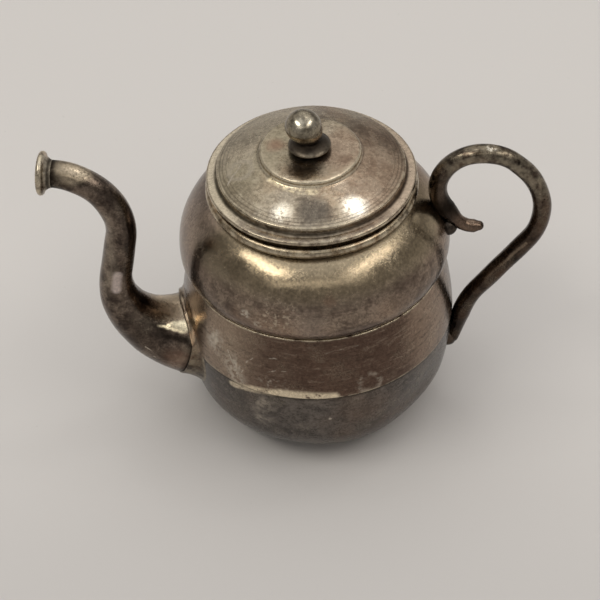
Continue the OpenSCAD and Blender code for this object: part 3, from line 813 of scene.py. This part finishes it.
def lip_metal():
    return tarnished("lip_metal", (0.54, 0.48, 0.38), (0.19, 0.155, 0.12), rough=0.28, mottle=2, pits=1.4)


def wire_metal():
    light, dark = (0.084, 0.061, 0.046), (0.028, 0.021, 0.017)
    return tarnished("dark_wire", light, dark, mottle=4, pits=0.8, marks=wire_marks)


def solder_metal():
    light, dark = (0.085, 0.069, 0.056), (0.032, 0.026, 0.022)
    return tarnished("solder", light, dark, rough=0.34, mottle=2, bright=(0.25, 0.21, 0.17))


# Outlines of the turned pieces, as points of (radius, height)


def upper_outline():
    join = math.degrees(math.atan2(NECK_FILLET[1] - SHOULDER[1], NECK_FILLET[0] - SHOULDER[0]))
    inner, inner_tuck = inset(SHOULDER, POT_WALL), inset(TUCK, POT_WALL)
    rim = POT_WALL / 2
    pts = arc(TUCK, angle_at(TUCK, CREASE_Z), 0, 22)
    pts += arc(SHOULDER, 0, join, 40)[1:]
    pts += arc(NECK_FILLET, join + 180, 180, 8)[1:]
    pts += arc((NECK_R - rim, MOUTH_Z - rim, rim), 0, 180, 9)
    pts += arc(inner, angle_over(inner, NECK_R - POT_WALL), 0, 26)
    pts += arc(inner_tuck, 0, angle_at(inner_tuck, CREASE_Z), 12)[1:]
    return pts


def barrel_outline():
    inner = inset(BARREL, POT_WALL)
    pts = arc(BARREL, angle_at(BARREL, SEAM_Z), angle_at(BARREL, CREASE_Z), 50)
    pts += arc(inner, angle_at(inner, CREASE_Z), angle_at(inner, SEAM_Z), 24)
    return rounded(pts, BARREL_ROUND)


def bowl_outline():
    inner_side, inner_floor = inset(BOWL_SIDE, POT_WALL), inset(BOWL_FLOOR, POT_WALL)
    join_z = BOWL_FLOOR[1] + BOWL_FLOOR[2] * math.sin(math.radians(BOWL_JOIN))
    bottom = BOWL_FLOOR[1] - BOWL_FLOOR[2]
    pts = [(x, bottom) for x in (0.0, 5.0, 10.0)]
    pts += arc(BOWL_FLOOR, -90, BOWL_JOIN, 26)
    pts += arc(BOWL_SIDE, angle_at(BOWL_SIDE, join_z), 0, 24)[1:]
    pts += arc(inner_side, 0, BOWL_JOIN, 16)
    pts += arc(inner_floor, BOWL_JOIN, -90, 16)[1:]
    pts += [(x, bottom + POT_WALL) for x in (10.0, 5.0, 0.0)]
    return pts


def ring_outline():
    clip = angle_over(RING, NECK_R - 0.1)
    return arc(RING, -clip, clip, 30)


def lid_outline():
    dome_edge = angle_over(DOME, STEP_R)
    dome = arc(DOME, dome_edge, angle_over(DOME, BOSS_R + BOSS_COVE_REACH), 26)
    inner = inset(DOME, LID_WALL)
    cove_r = BOSS_R + BOSS_COVE_R
    pts = [(STEP_R - LID_WALL, LID_Z)]
    pts += arc(LID_EDGE, -90, 90, 14)
    pts += arc(LID_COVE, -90, -180, 7)
    pts += rounded_run((STEP_R, LID_COVE[1]), dome[0], dome[1:], STEP_ROUND)
    pts += arc((cove_r, top_z(DOME, cove_r) + BOSS_COVE_R, BOSS_COVE_R), -104, -180, 8)
    pts += arc((BOSS_R - BOSS_ROUND, BOSS_Z - BOSS_ROUND, BOSS_ROUND), 0, 90, 8)
    pts += [(x, BOSS_Z) for x in (9.0, 7.0, 5.0, 3.0, 1.2)]
    pts += [(x, BOSS_Z - LID_WALL) for x in (1.2, 5.0, BOSS_R - LID_WALL)]
    pts += arc(inner, angle_over(inner, BOSS_R - LID_WALL), angle_over(inner, STEP_R - LID_WALL), 12)
    return pts


def knob_outline():
    """The sharp flange at the foot, the neck over it, and the ball."""
    foot = [(0.0, 0.0), (3.3, 0.0), (3.45, 0.15), (4.2, 0.9), (4.5, 1.15), (4.45, 1.3)]
    foot += [(3.6, 1.75), (2.75, 2.15), (KNOB_NECK_R, 2.45)]
    return [(x, BOSS_Z + z) for x, z in foot] + arc(BALL, -angle_over(BALL, KNOB_NECK_R), 90, 36)


# Pieces. In each, the marks function gives the shares of bright wear, in places also a painted highlight, and
# of grime with painted shade, at points of the outline.


def build_upper_body(metal):
    def marks_at(r, z):
        # The bright line at the crease is wear together with a painted edge highlight.
        wear_and_sheen = 0.85 * near(z, CREASE_Z + 0.15, 0.3) * (r > 26.5) + 0.9 * near(z, MOUTH_Z, 0.5)
        # Painted shade with grime: the neck's foot under the mouth ring, and the inside.
        inside = np.hypot(r - SHOULDER[0], z - SHOULDER[1]) < SHOULDER[2] - POT_WALL / 2
        return wear_and_sheen, 0.9 * near(z, NECK_FOOT_Z, 0.6) * (r > NECK_R - POT_WALL / 2) + 0.25 * inside

    lathe("upper_body", upper_outline(), metal, "pot", marks_at)


def build_barrel(metal):
    def marks_at(r, z):
        # The bright ledge at the crease is wear together with a painted edge highlight; the seam's line is
        # wear.
        wear_and_sheen = 2.5 * near(z, CREASE_Z, 0.18) * (r > 27.2) + 1.4 * near(z, SEAM_Z, 0.22) * (r > 29.3)
        # Painted shade with grime on the inside.
        inside = np.hypot(r - BARREL[0], z - BARREL[1]) < BARREL[2] - POT_WALL / 2
        return wear_and_sheen, 0.25 * inside * (r < BARREL[0] + BARREL[2] - 1.0)

    pierce(lathe("barrel", barrel_outline(), metal, "pot", marks_at))


def build_base_bowl(metal):
    def marks_at(r, z):
        # Painted shade with grime at the seam and round the foot underneath.
        return 0.0 * z, near(z, SEAM_Z, 0.55) * (r > 28.9) + near(r, FOOT_MARK_R, 1.2) * (z < 2.4)

    pierce(lathe("base_bowl", bowl_outline(), metal, "pot", marks_at))


def build_mouth_ring(metal):
    def marks_at(r, z):
        # Painted shade with grime where the ring meets the neck.
        return near(r, RING[0] + RING[2], 0.7), near(r, NECK_R, 0.45)

    lathe("mouth_ring", ring_outline(), metal, "pot", marks_at)


def build_lid_cover(metal):
    def marks_at(r, z):
        wear_and_sheen = near(r, LID_EDGE[0] + LID_EDGE[2], 0.4) + near_point(r, z, (STEP_R, STEP_TOP_Z), 0.5)
        wear_and_sheen += near_point(r, z, (BOSS_R - 0.2, BOSS_Z - 0.2), 0.5)
        # Painted shade with grime at the step's foot and round the knob's foot.
        return wear_and_sheen, near_point(r, z, (STEP_R, STEP_FOOT_Z), 0.5) + near(r, 3.6, 0.9) * (z > BOSS_Z - 0.1)

    lathe("lid_cover", lid_outline(), metal, "lid", marks_at)


def build_knob(metal):
    """The ball knob, which leans a little to the left."""

    def marks_at(r, z):
        # Painted shade with grime at the knob's neck and foot.
        return 0.4 * near(z, BOSS_Z + 1.15, 0.3), near(z, BOSS_Z + 2.6, 0.8) + near(z, BOSS_Z, 0.5)

    knob = lathe("knob", knob_outline(), metal, "lid", marks_at, stray=False, sides=96)
    for vertex in knob.data.vertices:
        rise = max(vertex.co.z / MM - BOSS_Z - KNOB_LEAN_FROM, 0.0)
        vertex.co.x -= KNOB_LEAN * MM * min(rise / KNOB_LEAN_SPAN, 1.0)


def pierce(piece):
    """Cuts the pouring hole behind the collar through a skin of the pot."""
    radius, length = POUR_HOLE_R * MM, HOLE_CUTTER_LENGTH * MM
    work = bmesh.new()
    bmesh.ops.create_cone(work, cap_ends=True, segments=64, radius1=radius, radius2=radius, depth=length)
    cutter = add_object("hole_cutter", made_mesh(work, "hole_cutter"))
    h = math.radians(SPOUT_ROOT[2])
    root, way = spun(np.array([[SPOUT_ROOT[0], 0, SPOUT_ROOT[1]], [math.cos(h), 0, math.sin(h)]]))
    turn = Vector(way).to_track_quat("Z", "Y").to_matrix().to_4x4()
    cutter.matrix_world = Matrix.Translation(Vector(root) * MM) @ turn
    cut = piece.modifiers.new("hole", "BOOLEAN")
    cut.operation = "DIFFERENCE"
    cut.object = cutter
    cut.solver = "EXACT"
    bpy.context.view_layer.update()
    made = bpy.data.meshes.new_from_object(piece.evaluated_get(bpy.context.evaluated_depsgraph_get()))
    piece.modifiers.clear()
    piece.data = made
    bpy.data.objects.remove(cutter)


def build_spout_tube(metal):
    """The swan-neck tube: wide at the pot, narrowing up the low bend and then slightly to its tip."""
    sides = 64
    low, mid, _, tip = spout_places()
    span = TUBE_TIP_R - TUBE_MID_R
    stations = []
    for t in np.linspace(0, 1, 44):
        r = TUBE_MID_R + (TUBE_ROOT_R - TUBE_MID_R) * (1 - t) ** 1.6
        stations.append((turned(SPOUT_ROOT, LOW_BEND[0], LOW_BEND[1] * t), r, 0))
    for t in np.linspace(0.1, 1, 10):
        stations.append((ahead(low, SPOUT_RISE * t), TUBE_MID_R + span * 0.25 * t, 0))
    for t in np.linspace(0.04, 1, 34):
        r = TUBE_MID_R + span * (0.25 + 0.7 * t)
        stations.append((turned(mid, TOP_BEND[0], TOP_BEND[1] * t), r, SPOUT_SWING))
    stations.append((tip, TUBE_TIP_R, SPOUT_SWING))
    outer = sweep(stations, sides, TUBE_WAVES)
    inner = sweep([(p, r - TUBE_WALL, swing) for p, r, swing in stations], sides)
    points = spun(np.concatenate([*outer, *inner[::-1]]))
    share = np.repeat(np.concatenate([np.linspace(0, 1, len(outer)), np.full(len(inner), -1.0)]), sides)
    wear_and_sheen = 0.25 * near(share, 0.0, 0.04)
    # Painted shade with grime at the tube's ends, and painted shade inside it.
    grime_and_shade = near(share, 0.0, 0.014) + near(share, 1.0, 0.045) + 0.8 * (share < -0.5)
    faces = grid_faces(2 * len(outer), sides)
    finish_mesh("spout_tube", points, faces, metal, "pot", wear_and_sheen, grime_and_shade)


def pot_radius(z):
    """The pot's outer radius at heights of its barrel and bowl."""
    return np.where(z > SEAM_Z, side_r(BARREL, z), side_r(BOWL_SIDE, z))


def build_collar(metal):
    """The collar flares from the tube's end onto the pot, whose surface it meets all round."""
    sides = 120
    h = math.radians(SPOUT_ROOT[2])
    k = np.arange(sides) * 2 * math.pi / sides

    def at(radius, along):
        """A ring round the spout's root, its points at distances along the root's heading."""
        x = SPOUT_ROOT[0] + along * math.cos(h) - radius * np.cos(k) * math.sin(h)
        z = SPOUT_ROOT[1] + along * math.sin(h) + radius * np.cos(k) * math.cos(h)
        return np.stack([x, radius * np.sin(k), z], -1)

    def on_pot(radius):
        """How far along each point of a ring meets the pot, found by halving."""
        low, high = np.full(sides, -12.0), np.full(sides, 8.0)
        for _ in range(40):
            middle = (low + high) / 2
            p = at(radius, middle)
            outside = np.hypot(p[:, 0], p[:, 1]) > pot_radius(p[:, 2])
            low, high = np.where(outside, low, middle), np.where(outside, middle, high)
        return low

    # The lip from its bore to its outer edge: radius, drop below the top, wear, grime with painted shade.
    lip = ((COLLAR_BORE_R, 0.6, 0, 1), (COLLAR_BORE_R, 0.05, 0, 1), (9.0, 0.0, 0.2, 0.8),
           (9.22, 0.02, 0.35, 0.2), (9.36, 0.16, 0.35, 0))
    top = np.maximum(0.25, on_pot(COLLAR_R) + 1.1)
    rows, wear_and_sheen, grime_and_shade = [], [], []
    for radius, drop, w, g in lip:
        rows.append(at(radius, top - drop))
        wear_and_sheen.append(w)
        grime_and_shade.append(g)
    for t in np.linspace(0.06, 1, 16):
        radius = COLLAR_R + 0.05 + COLLAR_SPREAD * (1 - math.cos(t * math.pi / 2))
        base = on_pot(radius)
        rows.append(at(radius, base + (top - 0.2 - base) * (1 - math.sin(t * math.pi / 2))))
        wear_and_sheen.append(0.45 * (1 - t) + 0.5 * near(t, 0.85, 0.12))
        # Painted shade with grime where the flare meets the pot.
        grime_and_shade.append(near(t, 1, 0.05))
    # Rows inside the pot, darkened with painted shade.
    for radius, depth in ((COLLAR_R + COLLAR_SPREAD - 0.5, 0.5), (COLLAR_BORE_R, 0.4)):
        rows.append(at(radius, on_pot(radius) - depth))
        wear_and_sheen.append(0)
        grime_and_shade.append(1)
    points = spun(np.concatenate(rows))
    wear_and_sheen, grime_and_shade = np.repeat(wear_and_sheen, sides), np.repeat(grime_and_shade, sides)
    faces = grid_faces(len(rows), sides)
    finish_mesh("spout_collar", points, faces, metal, "pot", wear_and_sheen, grime_and_shade)


def build_spout_lip(metal):
    """The flared lip round the tube's tip, rolled over at its rim."""
    sides = 72
    tip = spout_places()[3]
    h = math.radians(tip[2])
    along = np.array([math.cos(h), 0, math.sin(h)])
    across = np.array([-math.sin(h), 0, math.cos(h)])
    aside = np.array([0, 1, 0])
    section = [(2.2, -0.3), (2.95, -0.3), (3.0, 0.0), (3.15, 0.35), (3.5, 0.8), (3.85, 1.12)]
    section += arc((4.0, 1.9, 0.7), -65, 120, 14)
    section += [(3.3, 2.35), (2.9, 2.0), (2.4, 1.45), (2.2, 0.8)]
    pts = []
    for radius, run in section:
        centre = np.array([tip[0], 0, tip[1]]) + along * run
        for c in np.arange(sides) * 2 * math.pi / sides:
            out = radius * (1 + waves(LIP_WAVES, c, 0))
            pts.append(centre + out * (math.cos(c) * across + math.sin(c) * aside))
    points = spun(swung(np.array(pts), SPOUT_SWING))
    r, a = (np.repeat([p[i] for p in section], sides) for i in (0, 1))
    wear_and_sheen = near(r, 4.7, 0.35)
    # Painted shade on the back of the flare and in the bore.
    grime_and_shade = near(a, 0.2, 0.4) * (r > 2.9) + 0.9 * (r < 2.7) * (a > 0.2)
    finish_mesh("spout_lip", points, grid_faces(len(section), sides), metal, "pot", wear_and_sheen, grime_and_shade)


def handle_places():
    """The handle's centre line from its tail, as (place, distance gone), and where its runs start."""
    p = (side_r(BOWL_SIDE, TAIL_Z) + TAIL_R - TAIL_SINK, TAIL_Z, TAIL_RISE)
    places, starts = [(p, 0.0)], []
    for size, turn in HANDLE_RUNS:
        gone = places[-1][1]
        starts.append(gone)
        long = size * math.radians(abs(turn)) if turn else size
        steps = max(2, int(long / 0.55))
        for t in np.linspace(1 / steps, 1, steps):
            places.append((turned(p, size, turn * t) if turn else ahead(p, long * t), gone + long * t))
        p = places[-1][0]
    return places, starts


def round_end(place, radius, way):
    """Stations of a dome that closes a wire's end, ahead of a place if way is 1 and behind it if -1."""
    angles = np.radians([18, 35, 52, 70, 88])
    return [(ahead(place, way * radius * math.sin(a)), radius * math.cos(a), 0) for a in angles]


def build_handle(metal):
    """One bent wire: tail, heel, grip, outer bend, the bend over the top, and the curl on the shoulder."""
    sides = 40
    places, starts = handle_places()
    knots = [0, starts[1], starts[6], starts[7], starts[8], places[-1][1]]
    radii = [TAIL_R, WIRE_R, WIRE_R, CURL_R, CURL_R, CURL_TIP_R]
    stations = round_end(places[0][0], TAIL_R, -1)[::-1]
    stations += [(p, np.interp(gone, knots, radii), 0) for p, gone in places]
    stations += round_end(places[-1][0], CURL_TIP_R, 1)
    rings = sweep(stations, sides, WIRE_WAVES)
    verts = np.concatenate([rings.reshape(-1, 3), [rings[0].mean(0)], [rings[-1].mean(0)]])
    faces = grid_faces(len(rings), sides, close_rows=False)
    first, last, ring = len(verts) - 2, len(verts) - 1, (len(rings) - 1) * sides
    for k in range(sides):
        m = (k + 1) % sides
        faces.append((first, m, k))
        faces.append((last, ring + k, ring + m))
    share = np.concatenate([np.repeat(np.linspace(0, 1, len(rings)), sides), [0, 1]])
    wear_and_sheen = 0.5 * near(share, 0.6, 0.1) + 0.3 * near(share, 0.72, 0.05)
    # Painted shade with grime at the tail and at a second place along the wire.
    grime_and_shade = 0.7 * near(share, 0.0, 0.04) + 0.8 * near(share, 0.87, 0.03)
    finish_mesh("handle", verts, faces, metal, "pot", wear_and_sheen, grime_and_shade)


def finish_plain(node, metal):
    """Gives a piece that shows its CAD shape its metal."""
    piece = bpy.data.objects[node]
    piece.data.materials.clear()
    piece.data.materials.append(metal)


# Scene


def paper_material():
    """Matt paper, with painted shade that darkens it towards the viewer, that turns into a pale backdrop far
    away.
    """
    m = Nodes(bpy.data.materials.new("paper_floor"))
    _, far, _, _, y = polar(m)
    tint = m.blend(m.noise(140, 3), (0.675, 0.650, 0.630), (0.695, 0.670, 0.650))
    # Painted shade: darker towards the viewer.
    tint = m.blend(m.step(y, 0.03, -0.16), tint, (0.525, 0.508, 0.500))
    speck = m.step(m.noise(1.6, 2), 0.72, 0.77)
    tint = m.blend(m.times(speck, 0.2), tint, (0.5, 0.47, 0.44))
    bump = m.add("ShaderNodeBump", {"Height": m.noise(0.8, 4), "Strength": 0.12, "Distance": 0.0001})
    inputs = {"Base Color": tint, "Roughness": 0.75, "Specular IOR Level": 0.25, "Normal": bump.outputs[0]}
    shader = m.add("ShaderNodeBsdfPrincipled", inputs)

    # The backdrop's glow is only for what looks at the floor or mirrors it, and lights nothing.
    ray = m.add("ShaderNodeLightPath").outputs
    seen = m.most(ray["Is Camera Ray"], ray["Is Glossy Ray"], ray["Is Transmission Ray"])
    glow = m.add("ShaderNodeEmission", {"Color": (1.0, 0.97, 0.93, 1.0), "Strength": 0.5})
    share = m.times(seen, m.step(far, 0.3, 1.2))
    mix = m.add("ShaderNodeMixShader", {0: share, 1: shader.outputs[0], 2: glow.outputs[0]})
    return m.finish(mix.outputs[0])


def build_floor():
    work = bmesh.new()
    bmesh.ops.create_circle(work, cap_ends=True, segments=96, radius=FLOOR_R)
    mesh = made_mesh(work, "floor")
    mesh.materials.append(paper_material())
    floor = add_object("floor", mesh)


def build_world():
    """A pale studio: bright at the horizon, dimmer half way up and brightest overhead."""
    sky_tones = ((0.0, (0.52, 0.50, 0.48)), (0.3, (0.27, 0.255, 0.24)), (0.68, (0.24, 0.23, 0.215)),
                 (1.0, (1.0, 1.0, 1.0)))
    world = bpy.data.worlds.new("studio")
    bpy.context.scene.world = world
    m = Nodes(world)
    way = m.place.node.outputs["Generated"]
    ramp = m.add("ShaderNodeValToRGB", {"Fac": m.add("ShaderNodeSeparateXYZ", {"Vector": way}).outputs["Z"]})
    ramp.color_ramp.interpolation = "EASE"
    for rise, _ in sky_tones[1:-1]:
        ramp.color_ramp.elements.new(rise)
    for stop, (_, tone) in zip(ramp.color_ramp.elements, sky_tones):
        stop.color = (*tone, 1.0)
    sky = m.add("ShaderNodeBackground", {"Color": ramp.outputs[0]})
    m.add("ShaderNodeOutputWorld", {"Surface": sky.outputs[0]})


def lamp(name, azimuth, elevation, far, width, height, power, colour):
    """A soft box in a direction from the pot, turned to face it."""
    a, e = math.radians(azimuth), math.radians(elevation)
    way = Vector((math.cos(e) * math.cos(a), math.cos(e) * math.sin(a), math.sin(e)))
    data = bpy.data.lights.new(name, "AREA")
    data.shape = "RECTANGLE"
    data.size = width
    data.size_y = height
    data.energy = power
    data.color = colour
    obj = add_object(name, data)
    obj.location = Vector(LAMP_AIM) + way * far
    obj.rotation_mode = "QUATERNION"
    obj.rotation_quaternion = way.to_track_quat("Z", "Y")


def build_lamps():
    """Three windows in front, and softer light from the ceiling and from behind."""
    warm, mild, white = (1.0, 0.96, 0.88), (1.0, 0.96, 0.90), (1.0, 0.98, 0.95)
    lamp("window_left", -147, 53, 1.0, 0.62, 0.19, 2.0, warm)
    lamp("window_right", -21, 49, 1.0, 0.72, 0.19, 1.6, mild)
    lamp("window_front", -84, 41, 1.0, 1.4, 0.12, 0.65, mild)
    lamp("ceiling_right", 33, 69, 1.0, 0.14, 0.12, 0.3, white)
    lamp("ceiling_left", 154, 75, 1.0, 0.1, 0.1, 0.14, white)
    lamp("back_right", 55, 46, 1.2, 1.2, 0.8, 1.5, white)
    lamp("back_left", 125, 46, 1.2, 1.2, 0.8, 1.6, white)


def build_camera():
    """A long lens in front of the pot and above it, placed as in the photo."""
    place = (0.033246, -0.380008, 0.392830)
    right = (0.997504, 0.056460, -0.042389)
    up = (-0.008756, 0.694701, 0.719234)
    back = (0.070054, -0.717033, 0.693510)
    data = bpy.data.cameras.new("camera")
    data.lens = 144
    data.sensor_width = 36
    data.clip_start = 0.01
    data.clip_end = 20
    obj = add_object("camera", data)
    obj.matrix_world = Matrix.Translation(place) @ Matrix((right, up, back)).transposed().to_4x4()
    bpy.context.scene.camera = obj


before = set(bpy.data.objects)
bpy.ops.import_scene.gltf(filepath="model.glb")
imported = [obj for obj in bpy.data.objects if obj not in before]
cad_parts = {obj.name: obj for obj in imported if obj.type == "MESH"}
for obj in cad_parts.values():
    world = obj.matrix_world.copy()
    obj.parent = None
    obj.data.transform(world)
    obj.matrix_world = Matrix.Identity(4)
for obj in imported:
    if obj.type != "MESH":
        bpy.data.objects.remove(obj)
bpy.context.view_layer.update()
bpy.context.scene.view_settings.view_transform = "Standard"
build_camera()

bowl = bowl_metal()
lid = lid_metal()
solder = solder_metal()
build_upper_body(upper_metal())
build_barrel(barrel_metal())
build_base_bowl(bowl)
build_mouth_ring(ring_metal())
build_lid_cover(lid)
build_knob(knob_metal())
build_spout_tube(tube_metal())
build_collar(collar_metal())
build_spout_lip(lip_metal())
build_handle(wire_metal())
finish_plain("foot_ring", bowl)
finish_plain("lid_flange", lid)
finish_plain("handle_upper_solder", solder)
finish_plain("handle_lower_solder", solder)

build_floor()
build_world()
build_lamps()
